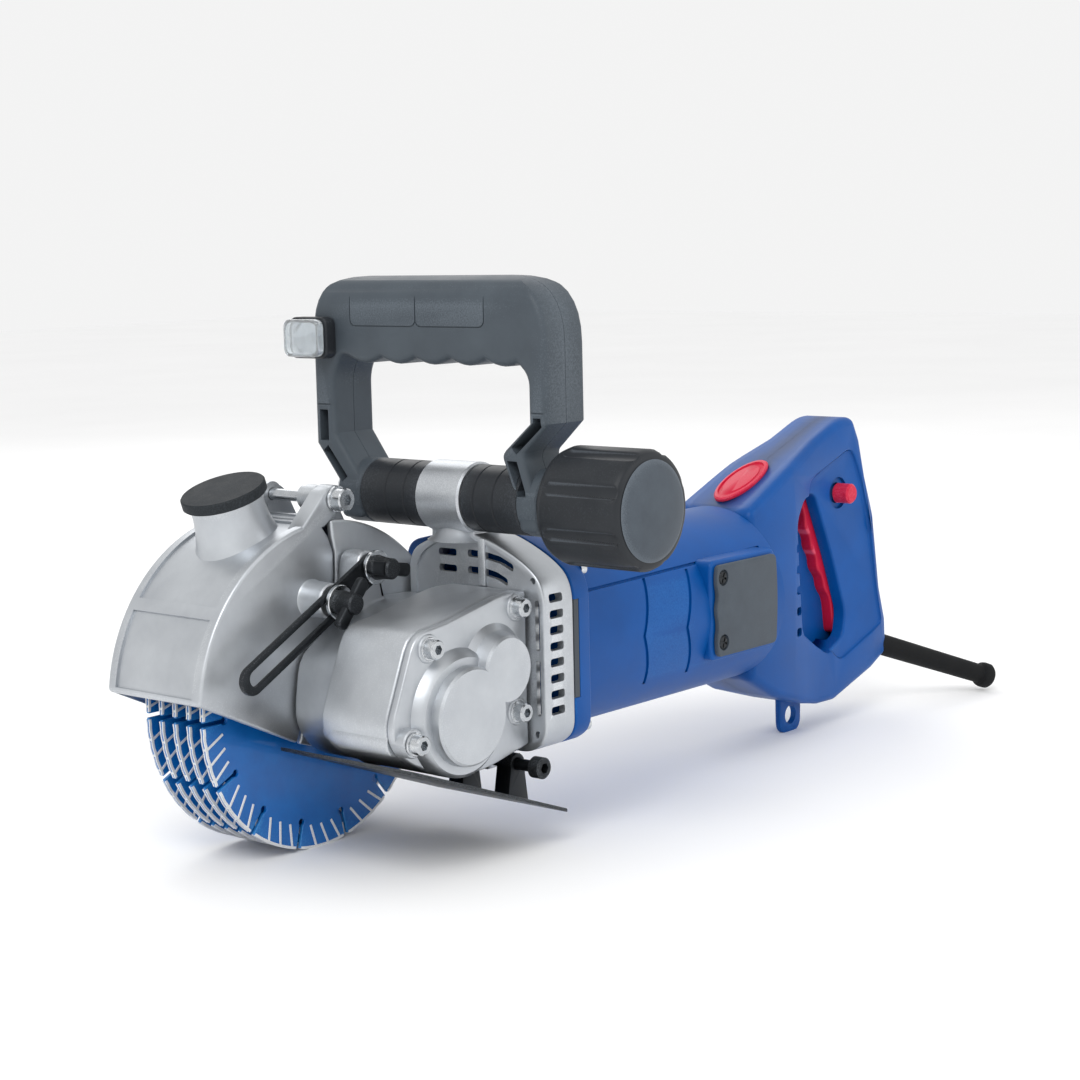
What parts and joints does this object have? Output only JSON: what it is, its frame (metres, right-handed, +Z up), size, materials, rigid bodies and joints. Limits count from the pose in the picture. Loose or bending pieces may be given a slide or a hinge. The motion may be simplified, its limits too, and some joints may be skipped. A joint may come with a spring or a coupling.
{
  "type": "wall chaser",
  "caption": "Hand-held wall slotting machine: segmented blades side by side under a swinging guard, a transverse gear case, a motor barrel, a loop front handle and a D-shaped rear handle.",
  "frame": {"origin": "middle of the bounding box at the plane on which the blades and the carrying eyelet stand", "axes": "+X to the rear along the motor, +Y from the knob side to the blade side, +Z up"},
  "size_m": [0.636, 0.2386, 0.294],
  "materials": {
    "cast_aluminium": "bead-blasted die casting",
    "black_steel": "black oxide",
    "zinc_steel": "zinc plated",
    "gear_steel": "ground",
    "blade_blue": "blue paint on steel with bright diamond segments",
    "laminated_steel": "varnished laminations",
    "copper": "turned",
    "carbon": "pressed carbon",
    "blue_plastic": "moulded, semi-gloss",
    "black_plastic": "moulded, matt",
    "red_plastic": "moulded, semi-gloss",
    "rubber": "matt",
    "clear_lens": "clear polycarbonate"
  },
  "bodies": {
    "housing": {"gear_case": "cast_aluminium", "gear_cover": "cast_aluminium", "cover_screw_1": "black_steel", "cover_screw_2": "black_steel", "cover_screw_3": "black_steel", "cover_screw_4": "black_steel", "fan_housing": "cast_aluminium", "rear_guard": "cast_aluminium", "hinge_bolt": "black_steel", "sole_hinge_pin": "black_steel", "spindle_bearing_inner": "zinc_steel", "spindle_bearing_outer": "zinc_steel", "idler_bearing": "zinc_steel", "armature_bearing_front": "zinc_steel", "armature_bearing_rear": "zinc_steel", "motor_housing": "blue_plastic", "stator_core": "laminated_steel", "brush_cover_near": "black_plastic", "brush_cover_far": "black_plastic", "carbon_brush_near": "carbon", "carbon_brush_far": "carbon", "rear_handle_near": "blue_plastic", "rear_handle_far": "blue_plastic", "switch_block": "black_plastic", "cord_boot": "rubber"},
    "swing_guard": {"guard_cover": "cast_aluminium"},
    "dust_cap": {"dust_cap": "rubber"},
    "depth_arm": {"depth_arm": "black_steel"},
    "upper_wing_bolt": {"wing_bolt_upper": "black_steel"},
    "lower_wing_bolt": {"wing_bolt_lower": "black_steel"},
    "sole": {"sole_plate": "black_steel"},
    "spindle": {"spindle": "gear_steel", "clamp_nut": "zinc_steel", "spindle_gear": "gear_steel", "blade_1": "blade_blue", "blade_2": "blade_blue", "blade_3": "blade_blue", "blade_4": "blade_blue", "blade_5": "blade_blue", "blade_spacer_1": "zinc_steel", "blade_spacer_2": "zinc_steel", "blade_spacer_3": "zinc_steel", "blade_spacer_4": "zinc_steel"},
    "idler": {"idler_shaft": "gear_steel", "bevel_ring_gear": "gear_steel"},
    "armature": {"armature_shaft": "gear_steel", "armature_core": "laminated_steel", "commutator": "copper", "cooling_fan": "black_plastic"},
    "trigger": {"trigger": "red_plastic"},
    "lock_button": {"lock_button": "red_plastic"},
    "front_handle": {"loop_handle_front": "black_plastic", "loop_handle_rear": "black_plastic", "sleeve_near": "black_plastic", "sleeve_far": "black_plastic", "handle_bolt": "zinc_steel", "lamp_housing": "black_plastic", "lamp_lens": "clear_lens"},
    "knob": {"clamp_knob": "black_plastic"}
  },
  "joints": [
    {"name": "spindle_spin", "type": "hinge", "parent": "housing", "child": "spindle", "pos_m": [-0.22683, 0.059, 0.078], "axis": [0, 1, 0], "continuous": true},
    {"name": "idler_spin", "type": "hinge", "parent": "housing", "child": "idler", "pos_m": [-0.19574, 0.009, 0.09897], "axis": [0, 1, 0], "continuous": true},
    {"name": "armature_spin", "type": "hinge", "parent": "housing", "child": "armature", "pos_m": [-0.19574, 0.009, 0.09897], "axis": [1, 0, 0], "continuous": true},
    {"name": "guard_swing", "type": "hinge", "parent": "housing", "child": "swing_guard", "pos_m": [-0.22113, 0.077, 0.1823], "axis": [0, 1, 0], "range_deg": [0, 25]},
    {"name": "depth_arm_pivot", "type": "hinge", "parent": "housing", "child": "depth_arm", "pos_m": [-0.21383, 0.028, 0.1478], "axis": [0, 1, 0], "range_deg": [0, 28]},
    {"name": "upper_wing_bolt_turn", "type": "hinge", "parent": "housing", "child": "upper_wing_bolt", "pos_m": [-0.21383, 0.023, 0.1478], "axis": [0, 1, 0], "continuous": true},
    {"name": "lower_wing_bolt_turn", "type": "hinge", "parent": "swing_guard", "child": "lower_wing_bolt", "pos_m": [-0.24083, 0.023, 0.1336], "axis": [0, 1, 0], "continuous": true},
    {"name": "dust_cap_pull", "type": "slide", "parent": "swing_guard", "child": "dust_cap", "axis": [-0.309, 0, 0.9511], "range_m": [0, 0.03]},
    {"name": "sole_swing", "type": "hinge", "parent": "housing", "child": "sole", "pos_m": [-0.16983, -0.001, 0.044], "axis": [0, -1, 0], "range_deg": [0, 12]},
    {"name": "handle_tilt", "type": "hinge", "parent": "housing", "child": "front_handle", "pos_m": [-0.16483, 0.011, 0.18002], "axis": [0, 1, 0], "range_deg": [-30, 45]},
    {"name": "knob_turn", "type": "hinge", "parent": "front_handle", "child": "knob", "pos_m": [-0.16483, -0.081, 0.18002], "axis": [0, 1, 0], "continuous": true},
    {"name": "trigger_squeeze", "type": "hinge", "parent": "housing", "child": "trigger", "pos_m": [0.15377, 0.009, 0.145], "axis": [0, -1, 0], "range_deg": [0, 6], "stiffness_Nm_per_rad": 1.5, "springref_deg": -2.86},
    {"name": "lock_button_press", "type": "slide", "parent": "housing", "child": "lock_button", "axis": [0, 1, 0], "range_m": [0, 0.0035], "stiffness_N_per_m": 300, "springref_m": -0.002}
  ],
  "couplings": [
    {"joint": "idler_spin", "follows": "spindle_spin", "ratio": -1.5},
    {"joint": "armature_spin", "follows": "spindle_spin", "ratio": -3.1154},
    {"joint": "depth_arm_pivot", "follows": "guard_swing", "ratio": 1.044}
  ]
}
